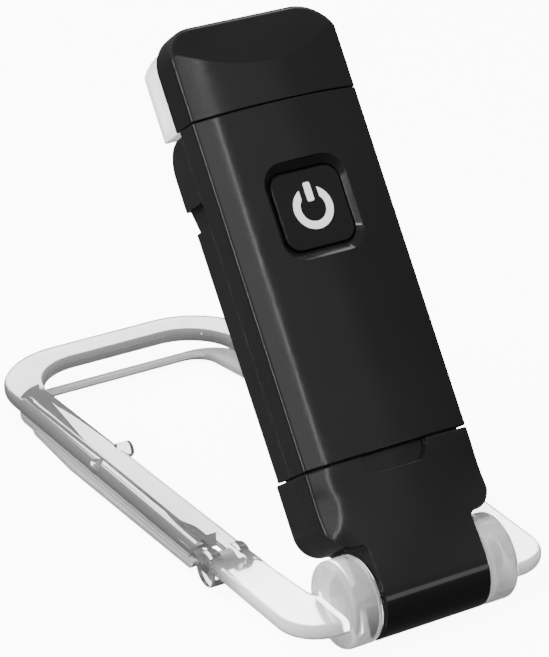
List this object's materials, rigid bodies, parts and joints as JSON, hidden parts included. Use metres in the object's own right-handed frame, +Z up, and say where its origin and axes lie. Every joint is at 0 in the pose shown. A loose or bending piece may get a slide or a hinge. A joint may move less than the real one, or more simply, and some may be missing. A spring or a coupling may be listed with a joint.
{
  "type": "clip-on reading light",
  "caption": "Rechargeable clip-on reading light: slim black lamp with a power button and a back-facing lens, folded on a hinge over a clear loop clip.",
  "frame": {"origin": "on the table plane, under the middle of the whole part's box", "axes": "+X across the lamp, +Y along the clip away from the fold hinge, +Z up"},
  "size_m": [0.0462, 0.1036, 0.0766],
  "materials": {
    "black_plastic": "satin moulded ABS, fine texture",
    "button_black": "satin",
    "white_print": "pad print",
    "switch_body": "matt",
    "circuit_board": "solder mask",
    "chip_black": "moulded epoxy",
    "steel": "drawn steel",
    "battery_foil": "laminated pouch",
    "white_tape": "foam tape",
    "white_plastic": "moulded",
    "gold_contact": "gold flash",
    "frosted_lens": "milky translucent",
    "led_yellow": "phosphor",
    "wire_red": "insulated wire",
    "dark_plastic": "moulded",
    "clear_plastic": "water-clear polycarbonate",
    "smoky_plastic": "lightly smoked clear polycarbonate"
  },
  "bodies": {
    "clip": {"clip_frame": "clear_plastic", "flap_pins": "steel", "hinge_pin": "steel", "friction_washers": "dark_plastic"},
    "flap": {"clip_flap": "smoky_plastic"},
    "base": {"base_front_shell": "black_plastic", "base_rear_shell": "black_plastic", "socket_sleeve": "dark_plastic"},
    "lamp": {"front_cover": "black_plastic", "rear_cover": "black_plastic", "tact_switch": "switch_body", "main_board": "circuit_board", "board_chips": "chip_black", "board_screws": "steel", "battery": "battery_foil", "battery_tape": "white_tape", "usb_shell": "steel", "usb_tongue": "white_plastic", "usb_contacts": "gold_contact", "head_shell": "black_plastic", "light_lens": "frosted_lens", "led_board": "circuit_board", "leds": "led_yellow", "light_reflector": "white_plastic", "head_wires": "wire_red"},
    "button": {"button_cap": "button_black", "power_symbol": "white_print", "tact_plunger": "switch_body"}
  },
  "joints": [
    {"name": "fold", "type": "hinge", "parent": "clip", "child": "base", "pos_m": [0, -0.0454, 0.0064], "axis": [1, 0, 0], "range_deg": [-49.5, 120]},
    {"name": "pull_out", "type": "slide", "parent": "base", "child": "lamp", "axis": [0, 0.5664, 0.8241], "range_m": [0, 0.0115]},
    {"name": "button_press", "type": "slide", "parent": "lamp", "child": "button", "axis": [0, 0.8241, -0.5664], "range_m": [0, 0.00045], "stiffness_N_per_m": 900},
    {"name": "flap_open", "type": "hinge", "parent": "clip", "child": "flap", "pos_m": [0, -0.0235, 0.004], "axis": [1, 0, 0], "range_deg": [-20, 0], "stiffness_Nm_per_rad": 0.02, "springref_deg": 8.59}
  ]
}
